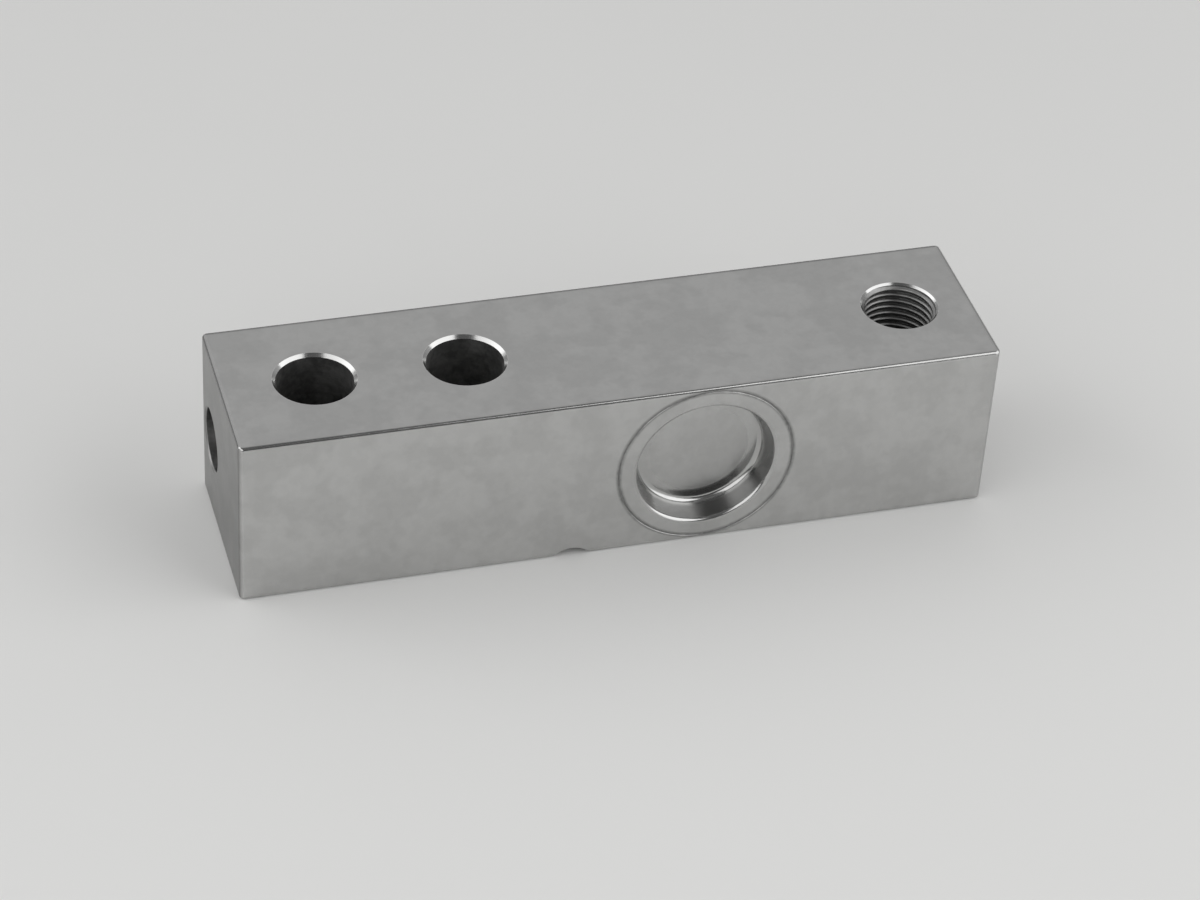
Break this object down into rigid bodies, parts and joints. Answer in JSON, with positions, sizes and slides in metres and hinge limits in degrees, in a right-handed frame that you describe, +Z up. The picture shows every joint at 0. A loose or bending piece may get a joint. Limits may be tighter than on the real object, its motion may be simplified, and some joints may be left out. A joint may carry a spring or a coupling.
{
  "type": "shear beam load cell",
  "caption": "Single-ended shear-beam load cell: square steel bar with plain mounting holes, a tapped load hole and welded sealing cups over its side gauge pockets.",
  "frame": {"origin": "on the underside, midway between the two mounting holes", "axes": "+X along the beam to its loaded end, +Y to the rear side, +Z up out of the load hole"},
  "size_m": [0.1301, 0.0318, 0.0318],
  "materials": {
    "beam_steel": "satin nickel-plated alloy steel, fine even grain",
    "cup_steel": "pressed stainless sheet, satin",
    "gland_steel": "turned stainless steel",
    "grommet_rubber": "black nitrile rubber",
    "header_metal": "glass-sealing nickel-iron alloy",
    "header_glass": "sealing glass",
    "copper": "tinned copper",
    "gauge_film": "amber polyimide film",
    "gauge_foil": "constantan foil",
    "board_laminate": "green glass-epoxy laminate",
    "chip_body": "black chip resistor",
    "sleeve_plastic": "white PTFE",
    "insulation_red": "red wire insulation",
    "insulation_black": "black wire insulation",
    "insulation_green": "green wire insulation",
    "insulation_white": "white wire insulation",
    "insulation_clear": "amber enamel on a thin lead"
  },
  "bodies": {
    "root": {"beam_body": "beam_steel", "front_cup": "cup_steel", "rear_cup": "cup_steel", "front_gauge_carrier": "gauge_film", "rear_gauge_carrier": "gauge_film", "front_gauge_foil": "gauge_foil", "rear_gauge_foil": "gauge_foil", "front_terminal_strip": "board_laminate", "rear_terminal_strip": "board_laminate", "front_terminal_pads": "copper", "rear_terminal_pads": "copper", "front_gauge_leads": "copper", "rear_gauge_leads": "copper", "crossover_sleeve": "sleeve_plastic", "compensation_board": "board_laminate", "board_pads": "copper", "trim_resistors": "chip_body", "span_resistors": "chip_body", "gland_ring": "gland_steel", "thrust_washer": "gland_steel", "cable_grommet": "grommet_rubber", "backing_washer": "gland_steel", "header_shell": "header_metal", "header_glass": "header_glass", "header_pins": "header_metal", "wire_red": "insulation_red", "wire_black": "insulation_black", "wire_green": "insulation_green", "wire_white": "insulation_white", "rear_jumper_leads": "insulation_clear", "front_jumper_leads": "insulation_clear"}
  },
  "joints": []
}
